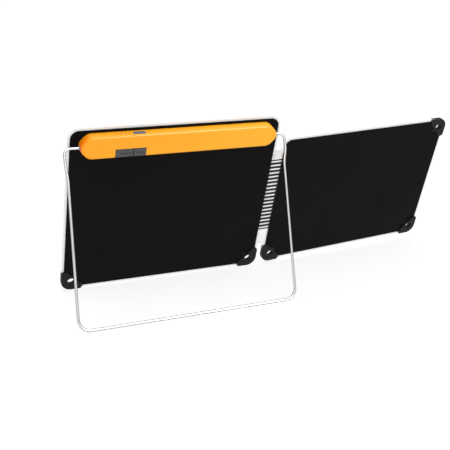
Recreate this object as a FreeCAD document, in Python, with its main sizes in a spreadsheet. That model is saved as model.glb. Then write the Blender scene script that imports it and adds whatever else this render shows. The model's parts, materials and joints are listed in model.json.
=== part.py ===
import FreeCAD, Part
import os
import Sketcher

# Two-leaf folding solar panel with a battery housing and a wire kickstand.
# Units are millimetres, +Z up, the panel stands on its corner brackets and on
# the kickstand's bottom bar.  The sun side faces +Y, the back faces -Y.
#
# Leaf coordinates, used by nearly every piece: x along the leaf, y up the
# leaf, z along the normal of the black back face (z = 0 is that face).
# "Left" is low x, "lower" is low y, "back" is high z.

Vector = FreeCAD.Vector
doc = FreeCAD.newDocument("SolarPanel")
sheet = doc.addObject("Spreadsheet::Sheet", "Dim")

# alias, value, meaning
DIMS = [
    # pose and frame
    ("leaf_tilt", 16.845, "lean of the leaves from upright, degrees"),
    ("fold_half", 2.56, "rest angle at each fold line, degrees"),
    ("stand_angle", 35.559, "kickstand angle from the back face, degrees"),
    ("shift_x", -126.658, "moves the model so its box is centred on the origin"),
    ("shift_y", 49.9325, "moves the model so its box is centred on the origin"),
    ("lift", 3.5652, "height of the back board's lower edge line"),
    # leaves
    ("board_w", 250.0, "black board width, both leaves"),
    ("board_h", 210.0, "main board height"),
    ("second_h", 176.5, "second board height"),
    ("second_y", 1.5, "second board lower edge"),
    ("board_t", 1.2, "board thickness"),
    ("board_corner", 10.0, "board corner radius"),
    ("rim", 3.0, "light rim outside the board"),
    ("skin_t", 1.0, "front sheet thickness"),
    ("rim_corner", 13.0, "front sheet corner radius"),
    ("notch", 16.0, "square corner notch under a bracket"),
    # flat leads
    ("lead_w", 6.4, "channel width for the flat lead"),
    ("lead_d", 0.3, "channel depth for the flat lead"),
    ("lead_y", 158.0, "height of the flat lead"),
    ("lead_t", 0.25, "flat lead thickness"),
    ("lead_side", 0.2, "gap beside a flat lead"),
    ("seam_gap", 0.05, "gap at each fold line"),
    ("riser_x0", 87.0, "lead riser left"),
    ("riser_x1", 93.0, "lead riser right"),
    ("riser_gap", 0.3, "gap beside the riser"),
    ("slot_x0", 86.5, "lead slot left"),
    ("slot_x1", 93.5, "lead slot right"),
    ("slot_y0", 187.5, "lead slot lower edge"),
    ("slot_y1", 190.5, "lead slot upper edge"),
    # cells
    ("cell", 52.0, "cell size"),
    ("cell_gap", 2.5, "gap between cells"),
    ("cell_t", 0.2, "cell thickness"),
    ("cell_cut", 4.0, "cell corner cut"),
    ("cell_x", 17.25, "left edge of the first cell"),
    ("cell_y", 9.25, "lower edge of the first row"),
    ("cell_cols", 4.0, "cells along a leaf"),
    ("cell_rows", 3.0, "rows of cells"),
    ("recess_d", 0.45, "recess for the cells"),
    ("recess_end", 12.0, "recess from the board ends"),
    ("recess_side", 2.5, "recess beyond the rows of cells"),
    ("recess_cut", 8.0, "recess corner cut"),
    ("ribbon_w", 1.2, "ribbon width"),
    ("ribbon_t", 0.15, "ribbon thickness"),
    ("ribbon_end", 13.2, "ribbon ends from the board ends"),
    ("ribbon_y", 8.4, "first ribbon above its row's lower edge"),
    ("ribbon_pitch", 17.0, "ribbon pitch within a row"),
    ("collector_w", 2.0, "collector width"),
    ("film_t", 0.15, "clear film thickness"),
    ("film_out", 1.0, "film beyond the board ends"),
    ("film_low", 1.5, "film above the board's lower edge"),
    ("film_cut", 28.0, "film corner cut at a bracket"),
    ("film_corner", 4.0, "film corner cut elsewhere"),
    # corner brackets
    ("bracket_out", 3.3, "bracket edge outside the board corner"),
    ("bracket_arm", 22.6, "bracket arm reach"),
    ("bracket_end", 3.3, "bracket arm end"),
    ("bracket_slant", 2.0, "slant of the arm ends"),
    ("bracket_corner", 12.0, "bracket outer radius"),
    ("bracket_tip", 1.2, "inner corner radius of the arm ends"),
    ("bracket_back", 2.0, "bracket plate on the back"),
    ("bracket_front", 2.0, "bracket plate on the front"),
    ("bracket_hole", 8.6, "hole centre from the board corner"),
    ("bracket_hole_rad", 4.7, "hole radius"),
    ("bracket_core", 15.8, "bracket core between the plates"),
    ("bracket_soft", 0.7, "bracket edge rounding"),
    # hinge web
    ("web_w", 9.2, "width between fold lines"),
    ("web_lo", 27.0, "web lower edge"),
    ("web_hi", 167.0, "web upper edge"),
    ("flex_lo", 153.6, "flex lead lower edge"),
    ("flex_hi", 166.4, "flex lead upper edge"),
    ("rib_count", 20.0, "black ribs"),
    ("rib_pitch", 5.38, "rib pitch"),
    ("rib_lo", 49.02, "lower edge of the first rib"),
    ("rib_w", 2.9, "rib width"),
    ("rib_t", 0.6, "rib thickness"),
    ("rib_gap", 0.1, "rib ends from the fold lines"),
    # housing
    ("housing_x0", 5.7, "housing left tip"),
    ("housing_x1", 247.5, "housing right tip"),
    ("housing_y0", 179.9, "housing lower side"),
    ("housing_y1", 207.0, "housing upper side"),
    ("housing_point", 12.5, "length of the pointed ends"),
    ("housing_h", 11.5, "housing height"),
    ("housing_split", 1.8, "split between base and cover"),
    ("housing_plan", 11.0, "plan rounding of the shoulders"),
    ("housing_end", 3.6, "rounded tip inside the outline's corner"),
    ("housing_tip", 9.8, "plan rounding of the tips"),
    ("housing_edge", 3.0, "rounding of the cover's top edge"),
    ("housing_roof", 9.2, "underside of the cover's roof"),
    ("cavity_x0", 20.0, "cavity left"),
    ("cavity_x1", 233.2, "cavity right"),
    ("cavity_y0", 181.6, "cavity lower"),
    ("cavity_y1", 204.6, "cavity upper"),
    ("cavity_rad", 5.0, "cavity corner radius"),
    ("seal_h", 0.7, "seal height"),
    ("seal_out", 1.2, "groove's outer edge from the cavity"),
    ("seal_in", 0.4, "groove's inner edge from the cavity"),
    ("seal_gap", 0.05, "gap beside the seal"),
    ("tape_t", 0.25, "tape thickness"),
    ("tape_end", 14.0, "tape from the housing tips"),
    ("tape_side", 1.5, "tape from the housing sides"),
    ("axis_y", 193.0, "kickstand axis height"),
    ("axis_z", 5.75, "kickstand axis off the board"),
    # port covers
    ("flap_x0", 48.0, "port covers left"),
    ("flap_mid", 69.0, "divider between the covers"),
    ("flap_x1", 83.0, "port covers right"),
    ("flap_top", 190.8, "upper end of the covers"),
    ("flap_t", 1.2, "cover thickness"),
    ("flap_gap", 0.2, "gap round the covers"),
    ("flap_axis_y", 190.0, "cover hinge axis"),
    ("flap_axis_z", 10.6, "cover hinge axis"),
    ("flap_foot", 3.4, "lower end of the covers on the side wall"),
    # sockets
    ("usb_x0", 51.5, "USB-A socket left"),
    ("usb_x1", 65.5, "USB-A socket right"),
    ("micro_x0", 72.2, "micro USB socket left"),
    ("micro_x1", 79.8, "micro USB socket right"),
    ("socket_gap", 0.3, "gap at each end of a socket"),
    # button
    ("button_x0", 67.9, "button left"),
    ("button_x1", 82.7, "button right"),
    ("button_z", 5.9, "button centre height"),
    ("button_rad", 2.6, "button end radius"),
    ("button_proud", 0.6, "button stands proud"),
    # leds
    ("led_count", 4.0, "lights"),
    ("led_x", 49.9, "first light"),
    ("led_pitch", 4.87, "light pitch"),
    ("led_z", 5.3, "light height"),
    ("led_rad", 0.9, "light radius"),
    # inside
    ("pcb_z", 2.4, "board underside"),
    ("pcb_t", 1.0, "board thickness"),
    ("screw_x", 16.8, "screws from the left end of the leaf"),
    ("screw_dy", 7.2, "screws above and below the axis"),
    # kickstand
    ("wire_rad", 1.5, "wire radius"),
    ("stand_len", 195.45, "axis to the bottom bar"),
    ("leg_top_l", -8.0, "left leg at the axis"),
    ("leg_top_r", 255.8, "right leg at the axis"),
    ("leg_mid_l", -8.2, "left leg at its upper kink"),
    ("leg_in_l", -7.0, "left leg at its lower kink"),
    ("leg_mid_r", 255.8, "right leg at its upper kink"),
    ("leg_in_r", 252.2, "right leg at its lower kink"),
    ("kink_hi", 17.5, "upper kink below the axis"),
    ("kink_lo", 33.5, "lower kink below the axis"),
    ("kink_rad", 18.0, "bend radius of the kinks"),
    ("leg_low_l", -13.5, "left leg at the bar"),
    ("leg_low_r", 248.0, "right leg at the bar"),
    ("bend_top", 7.0, "upper bend radius"),
    ("bend_low", 13.0, "lower bend radius"),
    ("pin_in", 20.5, "wire end inside the housing"),
    ("bush_gap", 0.06, "running clearance of the wire in its bush"),
    ("bush_in", 15.0, "inner end of the bush bore"),
    ("clip_in", 20.6, "inner end of the clip chamber"),
    ("groove_x", 16.4, "clip groove in the wire"),
    ("groove_w", 0.9, "clip groove width"),
    ("clip_gap", 0.05, "gap beside a clip in its groove"),
]
for row, (alias, value, words) in enumerate(DIMS, start=1):
    sheet.set("A%d" % row, words)
    sheet.set("B%d" % row, str(value))
    sheet.setAlias("B%d" % row, alias)
doc.recompute()


class Size:
    """A size that keeps both its value and the sheet formula it came from."""

    def __init__(self, value, text):
        self.value = float(value)
        self.text = text

    def __add__(self, other):
        other = size(other)
        return Size(self.value + other.value, "(%s + %s)" % (self.text, other.text))

    def __sub__(self, other):
        other = size(other)
        return Size(self.value - other.value, "(%s - %s)" % (self.text, other.text))

    def __rsub__(self, other):
        return size(other) - self

    def __mul__(self, other):
        other = size(other)
        return Size(self.value * other.value, "(%s * %s)" % (self.text, other.text))

    def __neg__(self):
        return Size(-self.value, "(0 - %s)" % self.text)


def size(number):
    return number if isinstance(number, Size) else Size(number, repr(float(number)))


class SheetSizes:
    """Reads each alias of the sheet as a Size."""

    def __getattr__(self, name):
        return Size(getattr(sheet, name), "Dim." + name)


dim = SheetSizes()
pieces = []     # (body, frame) of every piece


# ------------------------------------------------------------ sketches
def body(name, frame):
    part = doc.addObject("PartDesign::Body", name)
    part.Label = name
    pieces.append((part, frame))
    return part


def sketch(part, tag, level=0.0, role="XY_Plane"):
    """Sketch on an origin plane; the normal of XZ_Plane is -y, so y = -level there."""
    level = size(level)
    outline = part.newObject("Sketcher::SketchObject", part.Name + "_" + tag)
    plane = [o for o in part.Origin.OriginFeatures if o.Role == role][0]
    outline.AttachmentSupport = [(plane, "")]
    outline.MapMode = "FlatFace"
    outline.AttachmentOffset = FreeCAD.Placement(Vector(0, 0, level.value), FreeCAD.Rotation())
    outline.setExpression("AttachmentOffset.Base.z", level.text)
    return outline


def drive(outline, kind, value, *where):
    """Add a named dimension constraint driven by the value's formula."""
    value = size(value)
    index = outline.addConstraint(Sketcher.Constraint(kind, *where, value.value))
    name = "%s%d" % (kind, index)
    outline.renameConstraint(index, name)
    outline.setExpression("Constraints." + name, value.text)


def fix_point(outline, geometry, end, point):
    drive(outline, "DistanceX", point[0], -1, 1, geometry, end)
    drive(outline, "DistanceY", point[1], -1, 1, geometry, end)


def add_line(outline, start, end):
    outline.addGeometry(Part.LineSegment(Vector(start[0].value, start[1].value, 0),
                                         Vector(end[0].value, end[1].value, 0)), False)


def round_corner(outline, line, end, radius):
    radius = size(radius)
    outline.fillet(line, end, radius.value, True, True)
    arc = [i for i, g in enumerate(outline.Geometry) if isinstance(g, Part.ArcOfCircle)][-1]
    drive(outline, "Radius", radius, arc)


def polygon(outline, points, rounds=None):
    """Closed outline through points; rounds gives a corner radius by index."""
    first = outline.GeometryCount
    count = len(points)
    points = [(size(x), size(y)) for x, y in points]
    for i in range(count):
        add_line(outline, points[i], points[(i + 1) % count])
    for i in range(count):
        outline.addConstraint(
            Sketcher.Constraint("Coincident", first + i, 2, first + (i + 1) % count, 1))
    for i in range(count):
        fix_point(outline, first + i, 1, points[i])
    for i, radius in (rounds or {}).items():
        round_corner(outline, first + i, 1, radius)


def rect(outline, x0, y0, x1, y1, radius=None):
    rounds = None if radius is None else {i: radius for i in range(4)}
    polygon(outline, [(x0, y0), (x1, y0), (x1, y1), (x0, y1)], rounds)


def circle(outline, x, y, radius):
    x, y, radius = size(x), size(y), size(radius)
    shape = Part.Circle(Vector(x.value, y.value, 0), Vector(0, 0, 1), radius.value)
    geometry = outline.addGeometry(shape, False)
    fix_point(outline, geometry, 3, (x, y))
    drive(outline, "Radius", radius, geometry)


# ------------------------------------------------------------ features
def extrude(part, kind, outline, length, reverse):
    length = size(length)
    feature = part.newObject("PartDesign::" + kind, outline.Name + "_" + kind.lower())
    feature.Profile = (outline, [""])
    feature.Length = length.value
    feature.Reversed = reverse
    feature.setExpression("Length", length.text)
    doc.recompute()
    return feature


def pad(part, outline, length, reverse=False):
    return extrude(part, "Pad", outline, length, reverse)


def cut(part, outline, length, along_normal=True):
    """Pocket along the sketch normal or against it; must remove material."""
    before = part.Shape.Volume
    feature = extrude(part, "Pocket", outline, length, along_normal)
    if not part.Shape.Volume < before - 1e-6:
        raise RuntimeError("%s removed nothing" % feature.Name)


def block(part, tag, z0, z1, x0, y0, x1, y1, radius=None):
    outline = sketch(part, tag, z0)
    rect(outline, x0, y0, x1, y1, radius)
    return pad(part, outline, size(z1) - z0)


def block_cut(part, tag, z0, z1, x0, y0, x1, y1):
    outline = sketch(part, tag, z0)
    rect(outline, x0, y0, x1, y1)
    cut(part, outline, size(z1) - z0)


def pattern(part, features, count, pitch, axis="H_Axis", count2=None, pitch2=None, guide=None):
    """Repeat features along an axis of the guide, by default the last one's sketch.

    A second count and pitch make a grid along the guide's V axis.
    """
    guide = guide or features[-1].Profile[0]
    result = part.newObject("PartDesign::LinearPattern", features[-1].Name + "_row")
    result.Originals = features
    rows = [("", axis, count, pitch)]
    if count2 is not None:
        rows.append(("2", "V_Axis", count2, pitch2))
    for suffix, direction, number, step in rows:
        number = size(number)
        length = (number - 1) * step
        setattr(result, "Direction" + suffix, (guide, [direction]))
        setattr(result, "Length" + suffix, length.value)
        setattr(result, "Occurrences" + suffix, int(number.value))
        result.setExpression("Length" + suffix, length.text)
        result.setExpression("Occurrences" + suffix, number.text)
    part.Tip = result
    doc.recompute()


def edge_at(edge, axis, *places):
    """True for an edge lying flat across the axis (X, Y or Z) at one of the places."""
    low = getattr(edge.BoundBox, axis + "Min")
    high = getattr(edge.BoundBox, axis + "Max")
    return high - low < 1e-4 and any(abs(high - place.value) < 1e-3 for place in places)


def soften(part, radius, wanted):
    """Round the edges of the part so far that the test picks."""
    base = part.Tip
    edges = ["Edge%d" % i for i, e in enumerate(base.Shape.Edges, start=1) if wanted(e)]
    if not edges:
        raise RuntimeError(part.Name + ": no edges to round")
    radius = size(radius)
    feature = part.newObject("PartDesign::Fillet", part.Name + "_rounding")
    feature.Base = (base, edges)
    feature.Radius = radius.value
    feature.setExpression("Radius", radius.text)
    doc.recompute()


def swept_wire(part, level, points, bends, radius):
    """Round wire along points at z = level, bent at each inner point.

    The first stretch runs along x, square to the wire's section.
    """
    path = sketch(part, "path", level)
    points = [(size(x), size(y)) for x, y in points]
    last = len(points) - 2
    for i in range(last + 1):
        add_line(path, points[i], points[i + 1])
    for i in range(last):
        path.addConstraint(Sketcher.Constraint("Coincident", i, 2, i + 1, 1))
    for i in range(last + 1):
        fix_point(path, i, 1, points[i])
    fix_point(path, last, 2, points[-1])
    for i, bend in enumerate(bends):
        round_corner(path, i, 2, bend)
    section = sketch(part, "section", points[0][0], "YZ_Plane")
    circle(section, points[0][1], level, radius)
    doc.recompute()
    wire = part.newObject("PartDesign::AdditivePipe", part.Name + "_wire")
    wire.Profile = (section, [""])
    wire.Spine = (path, [""])
    doc.recompute()
    return wire, path


# ------------------------------------------------------------ frames
def moved(frame, x, y, z, axis=(0, 0, 1), angle=0.0):
    return frame * FreeCAD.Placement(Vector(x, y, z), FreeCAD.Rotation(Vector(*axis), angle))


leaf_t = dim.board_t + dim.skin_t
joint_z = -dim.board_t              # plane between the board and the front sheet
recess_z = -leaf_t + dim.recess_d   # floor of the cell recess
pcb_top = dim.pcb_z + dim.pcb_t
ends = dim.housing_x0 + dim.housing_x1  # x on the left end mirrors to ends - x

fold = dim.fold_half.value
LEAF = FreeCAD.Placement(
    Vector(dim.shift_x.value - dim.board_w.value / 2, dim.shift_y.value, dim.lift.value),
    FreeCAD.Rotation(Vector(1, 0, 0), 90 + dim.leaf_tilt.value))
# web coordinates: x from the first fold line, z from the front face
WEB = moved(LEAF, (dim.board_w + dim.rim).value, 0, -leaf_t.value, (0, 1, 0), fold)
SECOND = moved(moved(WEB, dim.web_w.value, 0, 0, (0, 1, 0), fold),
               dim.rim.value, 0, leaf_t.value)
# kickstand coordinates: x along the axis, y up the legs
STAND = moved(LEAF, 0, dim.axis_y.value, dim.axis_z.value, (1, 0, 0), -dim.stand_angle.value)


# ------------------------------------------------------------ leaves
def leaf_outline(outline, low, high, margin, radius, top_notch):
    """Board outline grown by margin, notched at both lower corners.

    The upper right corner is notched or rounded, the upper left one rounded.
    """
    width, notch = dim.board_w, dim.notch
    left, right = 0.0 - margin, width + margin
    points = [(left, low + notch), (notch, low + notch), (notch, low - margin),
              (width - notch, low - margin), (width - notch, low + notch), (right, low + notch)]
    rounds = {}
    if top_notch:
        points += [(right, high - notch), (width - notch, high - notch),
                   (width - notch, high + margin)]
    else:
        rounds[len(points)] = radius
        points.append((right, high + margin))
    rounds[len(points)] = radius
    points.append((left, high + margin))
    polygon(outline, points, rounds)


def cut_slot(part, z0, z1):
    """Slot that lets the main leaf's lead through to the circuit board."""
    block_cut(part, "slot", z0, z1, dim.slot_x0, dim.slot_y0, dim.slot_x1, dim.slot_y1)


def back_board(name, frame, low, high, top_notch):
    """Black back laminate."""
    part = body(name, frame)
    outline = sketch(part, "plate", -dim.board_t)
    leaf_outline(outline, low, high, size(0.0), dim.board_corner, top_notch)
    pad(part, outline, dim.board_t)
    return part


def front_sheet(name, frame, low, high, top_notch, tab_x, channels):
    """Light front sheet: rim, cell recess on the sun side, lead channels behind.

    The window for the cell tab goes through, from tab_x[0] to tab_x[1].
    """
    part = body(name, frame)
    outline = sketch(part, "plate", -leaf_t)
    leaf_outline(outline, low, high, dim.rim, dim.rim_corner, top_notch)
    pad(part, outline, dim.skin_t)

    outline = sketch(part, "recess", -leaf_t)
    rows_h = dim.cell * dim.cell_rows + dim.cell_gap * (dim.cell_rows - 1)
    chamfer = dim.recess_cut
    x0, x1 = dim.recess_end, dim.board_w - dim.recess_end
    y0 = dim.cell_y - dim.recess_side
    y1 = dim.cell_y + rows_h + dim.recess_side
    polygon(outline, [(x0 + chamfer, y0), (x1 - chamfer, y0), (x1, y0 + chamfer),
                      (x1, y1 - chamfer), (x1 - chamfer, y1), (x0 + chamfer, y1),
                      (x0, y1 - chamfer), (x0, y0 + chamfer)])
    cut(part, outline, dim.recess_d)

    for i, channel in enumerate(channels):
        block_cut(part, "channel%d" % i, joint_z - dim.lead_d, joint_z, *channel)
    block_cut(part, "tab_window", -leaf_t, joint_z, tab_x[0], channel_y0, tab_x[1], channel_y1)


def cells(name, frame):
    """Rows of thin cells with cut corners."""
    part = body(name, frame)
    outline = sketch(part, "cell", recess_z - dim.cell_t)
    x0, y0, chamfer = dim.cell_x, dim.cell_y, dim.cell_cut
    x1, y1 = x0 + dim.cell, y0 + dim.cell
    polygon(outline, [(x0 + chamfer, y0), (x1 - chamfer, y0), (x1, y0 + chamfer),
                      (x1, y1 - chamfer), (x1 - chamfer, y1), (x0 + chamfer, y1),
                      (x0, y1 - chamfer), (x0, y0 + chamfer)])
    cell = pad(part, outline, dim.cell_t)
    step = dim.cell + dim.cell_gap
    pattern(part, [cell], dim.cell_cols, step, count2=dim.cell_rows, pitch2=step)


def ribbons(name, frame):
    """Three ribbons across each row of cells and the collectors at the row ends."""
    part = body(name, frame)
    z1 = recess_z - dim.cell_t
    z0 = z1 - dim.ribbon_t
    step = dim.cell + dim.cell_gap
    x0, x1 = dim.ribbon_end, dim.board_w - dim.ribbon_end
    for i in range(3):
        y = dim.cell_y + dim.ribbon_y + step * i
        ribbon = block(part, "ribbon%d" % i, z0, z1, x0, y, x1, y + dim.ribbon_w)
        pattern(part, [ribbon], 3, dim.ribbon_pitch, axis="V_Axis")
    # left edge, first row, last row, top above the last row's lower edge
    right = x1 - dim.collector_w
    collectors = ((x0, 0, 0, 44.0), (x0, 1, 2, 44.0), (right, 0, 1, 44.0), (right, 2, 2, 41.0))
    for i, (x, first, last, top) in enumerate(collectors):
        block(part, "collector%d" % i, z0, z1, x, dim.cell_y + dim.ribbon_y + step * first,
              x + dim.collector_w, dim.cell_y + top + step * last)


def clear_film(name, frame, board_low, high, bracket_top=None):
    """Clear film cut back clear of the brackets.

    bracket_top is the board's upper edge where a bracket sits at the upper right.
    """
    part = body(name, frame)
    outline = sketch(part, "film", -leaf_t - dim.film_t)
    out, chamfer, corner, width = dim.film_out, dim.film_cut, dim.film_corner, dim.board_w
    high = size(high)
    low_x = chamfer - dim.film_low
    low = board_low + dim.film_low
    side = board_low + chamfer + out
    points = [(low_x, low), (width - low_x, low), (width + out, side)]
    if bracket_top is not None:
        points += [(width + out, bracket_top - chamfer - out),
                   (width - (chamfer - (bracket_top - high)), high)]
    else:
        points += [(width + out, high - corner), (width + out - corner, high)]
    points += [(corner - out, high), (-out, high - corner), (-out, side)]
    polygon(outline, points)
    pad(part, outline, dim.film_t)


def corner_bracket(name, frame):
    """Moulded bracket: two plates, a core with a through hole, and a lip over the rim."""
    part = body(name, frame)
    out, arm, end, core = dim.bracket_out, dim.bracket_arm, dim.bracket_end, dim.bracket_core
    slant = dim.bracket_slant
    slant_end = slant + 1.0 - out
    front_z = -leaf_t - dim.bracket_front
    plate = [(-out, -out), (arm - slant, -out), (arm, slant_end), (arm, end),
             (end, arm), (slant_end, arm), (-out, arm - slant)]
    plate_rounds = {0: dim.bracket_corner, 3: dim.bracket_tip, 4: dim.bracket_tip}
    corner_round = {0: dim.bracket_corner}

    outline = sketch(part, "front_plate", front_z)
    polygon(outline, plate, plate_rounds)
    pad(part, outline, dim.bracket_front)

    outline = sketch(part, "core", -leaf_t)
    polygon(outline, [(-out, -out), (core, -out), (core, core), (-out, core)], corner_round)
    pad(part, outline, leaf_t)

    # the lip stays just outside the board's edge and overlaps the core
    near, end_near = size(0.1), size(0.6)
    inner, reach = core - 1.0, arm - 0.2
    outline = sketch(part, "lip", -dim.board_t)
    polygon(outline, [(-out, -out), (arm - slant, -out), (reach, -end_near), (reach, -near),
                      (inner, -near), (inner, inner), (-near, inner), (-near, reach),
                      (-end_near, reach), (-out, arm - slant)], corner_round)
    pad(part, outline, dim.board_t)

    outline = sketch(part, "back_plate", 0.0)
    polygon(outline, plate, plate_rounds)
    pad(part, outline, dim.bracket_back)

    outline = sketch(part, "hole", front_z - 1.0)
    circle(outline, dim.bracket_hole, dim.bracket_hole, dim.bracket_hole_rad)
    cut(part, outline, leaf_t + dim.bracket_front + dim.bracket_back + 2.0)

    def outer_edge(edge):
        hole = (isinstance(edge.Curve, Part.Circle)
                and abs(edge.Curve.Radius - dim.bracket_hole_rad.value) < 1e-3)
        return edge_at(edge, "Z", dim.bracket_back, front_z) and not hole
    soften(part, dim.bracket_soft, outer_edge)


channel_y0 = dim.lead_y - dim.lead_w * 0.5
channel_y1 = dim.lead_y + dim.lead_w * 0.5
channel_x0 = dim.riser_x0 - dim.riser_gap
MAIN_TAB = (198.5, 201.5)       # windows for the cell tabs, left and right
SECOND_TAB = (27.0, 30.0)
main_low, main_high = size(0.0), dim.board_h
second_low, second_high = dim.second_y, dim.second_y + dim.second_h

main_board = back_board("main_back_board", LEAF, main_low, main_high, False)
cut_slot(main_board, -dim.board_t, 0.0)
front_sheet("main_front_sheet", LEAF, main_low, main_high, False, MAIN_TAB,
            [(channel_x0, channel_y0, dim.board_w + dim.rim, channel_y1),
             (channel_x0, channel_y1, dim.riser_x1 + dim.riser_gap, 190.6)])
clear_film("main_clear_film", LEAF, main_low, 180.0)

back_board("second_back_board", SECOND, second_low, second_high, True)
front_sheet("second_front_sheet", SECOND, second_low, second_high, True, SECOND_TAB,
            [(-dim.rim, channel_y0, SECOND_TAB[1], channel_y1)])
clear_film("second_clear_film", SECOND, second_low, 177.5, second_high)

for prefix, frame in (("main", LEAF), ("second", SECOND)):
    cells(prefix + "_cells", frame)
    ribbons(prefix + "_cell_ribbons", frame)

# name, leaf, board corner x and y, turn in degrees
for name, frame, x, y, angle in (
        ("main_corner_left", LEAF, 0.0, 0.0, 0),
        ("main_corner_right", LEAF, dim.board_w.value, 0.0, 90),
        ("second_corner_lower_left", SECOND, 0.0, second_low.value, 0),
        ("second_corner_lower_right", SECOND, dim.board_w.value, second_low.value, 90),
        ("second_corner_upper_right", SECOND, dim.board_w.value, second_high.value, 180)):
    corner_bracket(name, moved(frame, x, y, 0, angle=angle))


# ------------------------------------------------------------ flat leads
def flat_leads():
    """Thin strips flush in the front sheets' channels, with tabs to cells and board."""
    z0, z1 = joint_z - dim.lead_t, joint_z
    side = dim.lead_side
    y0, y1 = channel_y0 + side, channel_y1 - side

    part = body("main_leaf_lead", LEAF)
    x0, x1 = dim.riser_x0, dim.riser_x1
    block(part, "run", z0, z1, x0, y0, dim.board_w + dim.rim - dim.seam_gap, y1)
    block(part, "riser", z0, z1, x0, y0, x1, 190.4)
    block(part, "board_tab", z0, dim.pcb_z, x0 + side, 188.6, x1 - side, 189.6)
    block(part, "cell_tab", recess_z, z1, MAIN_TAB[0] + 0.5, y0 + side,
          MAIN_TAB[1] - 0.5, y1 - side)

    part = body("second_leaf_lead", SECOND)
    end = SECOND_TAB[1] - side
    block(part, "run", z0, z1, -dim.rim + dim.seam_gap, y0, end, y1)
    block(part, "cell_tab", recess_z, z1, SECOND_TAB[0] + side.value, y0 + side,
          end, y1 - side)


# ------------------------------------------------------------ hinge web
def hinge_web():
    """Strip between the fold lines, its ribs on the back and its flat lead."""
    x0, x1 = dim.seam_gap, dim.web_w - dim.seam_gap
    part = body("web_strip", WEB)
    block(part, "strip", 0.0, dim.skin_t, x0, dim.web_lo, x1, dim.web_hi)
    block_cut(part, "channel", dim.skin_t - dim.lead_d, dim.skin_t, 0.0,
              dim.flex_lo - dim.lead_side, dim.web_w, dim.flex_hi + dim.lead_side)

    part = body("web_ribs", WEB)
    rib = block(part, "rib", dim.skin_t, dim.skin_t + dim.rib_t, dim.rib_gap, dim.rib_lo,
                dim.web_w - dim.rib_gap, dim.rib_lo + dim.rib_w)
    pattern(part, [rib], dim.rib_count, dim.rib_pitch, axis="V_Axis")

    part = body("web_flex_lead", WEB)
    block(part, "run", dim.skin_t - dim.lead_t, dim.skin_t, x0, dim.flex_lo, x1, dim.flex_hi)


# ------------------------------------------------------------ housing
def housing_outline(outline):
    """Long hexagon with pointed ends, the tips on the kickstand axis."""
    x0, x1, y0, y1 = dim.housing_x0, dim.housing_x1, dim.housing_y0, dim.housing_y1
    point, tip, plan = dim.housing_point, dim.housing_tip, dim.housing_plan
    polygon(outline, [(x0, dim.axis_y), (x0 + point, y0), (x1 - point, y0),
                      (x1, dim.axis_y), (x1 - point, y1), (x0 + point, y1)],
            {0: tip, 1: plan, 2: plan, 3: tip, 4: plan, 5: plan})


def cavity_rect(outline, grow):
    """Cavity outline grown by a margin."""
    rect(outline, dim.cavity_x0 - grow, dim.cavity_y0 - grow, dim.cavity_x1 + grow,
         dim.cavity_y1 + grow, dim.cavity_rad + grow)


def screw_circles(outline, radius):
    for x, y in ((dim.screw_x, dim.axis_y - dim.screw_dy),
                 (ends - dim.screw_x, dim.axis_y - dim.screw_dy),
                 (ends - dim.screw_x, dim.axis_y + dim.screw_dy),
                 (dim.screw_x, dim.axis_y + dim.screw_dy)):
        circle(outline, x, y, radius)


def button_rect(outline, grow):
    """Long round-ended button outline; the radius stays just short of a half circle."""
    radius = dim.button_rad + grow
    rect(outline, dim.button_x0 - grow, dim.button_z - radius,
         dim.button_x1 + grow, dim.button_z + radius, radius - 0.01)


def module_tape():
    """Tape between the board and the housing base."""
    part = body("module_tape", LEAF)
    block(part, "tape", 0.0, dim.tape_t,
          dim.housing_x0 + dim.tape_end, dim.housing_y0 + dim.tape_side,
          dim.housing_x1 - dim.tape_end, dim.housing_y1 - dim.tape_side, 4.0)
    cut_slot(part, 0.0, dim.tape_t)


def housing_base():
    """Flat tray with seal groove, countersunk screw holes and board posts."""
    part = body("housing_base", LEAF)
    tray_h = dim.housing_split - dim.tape_t
    outline = sketch(part, "tray", dim.tape_t)
    housing_outline(outline)
    pad(part, outline, tray_h)

    outline = sketch(part, "seal_groove", dim.housing_split - dim.seal_h)
    cavity_rect(outline, dim.seal_out)
    cavity_rect(outline, dim.seal_in)
    cut(part, outline, dim.seal_h)
    cut_slot(part, dim.tape_t, dim.housing_split)

    for tag, depth, radius in (("screw_holes", tray_h, 0.95), ("screw_sinks", 0.7, 1.75)):
        outline = sketch(part, tag, dim.tape_t)
        screw_circles(outline, radius)
        cut(part, outline, depth)

    outline = sketch(part, "posts", dim.housing_split)
    for x, y in ((27.0, 186.0), (27.0, 199.5), (91.0, 199.5), (91.0, 184.6)):
        circle(outline, x, y, 1.6)
    pad(part, outline, dim.pcb_z - dim.housing_split)


def cover_seal():
    part = body("cover_seal", LEAF)
    outline = sketch(part, "ring", dim.housing_split - dim.seal_h)
    cavity_rect(outline, dim.seal_out - dim.seal_gap)
    cavity_rect(outline, dim.seal_in + dim.seal_gap)
    pad(part, outline, dim.seal_h)


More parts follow.
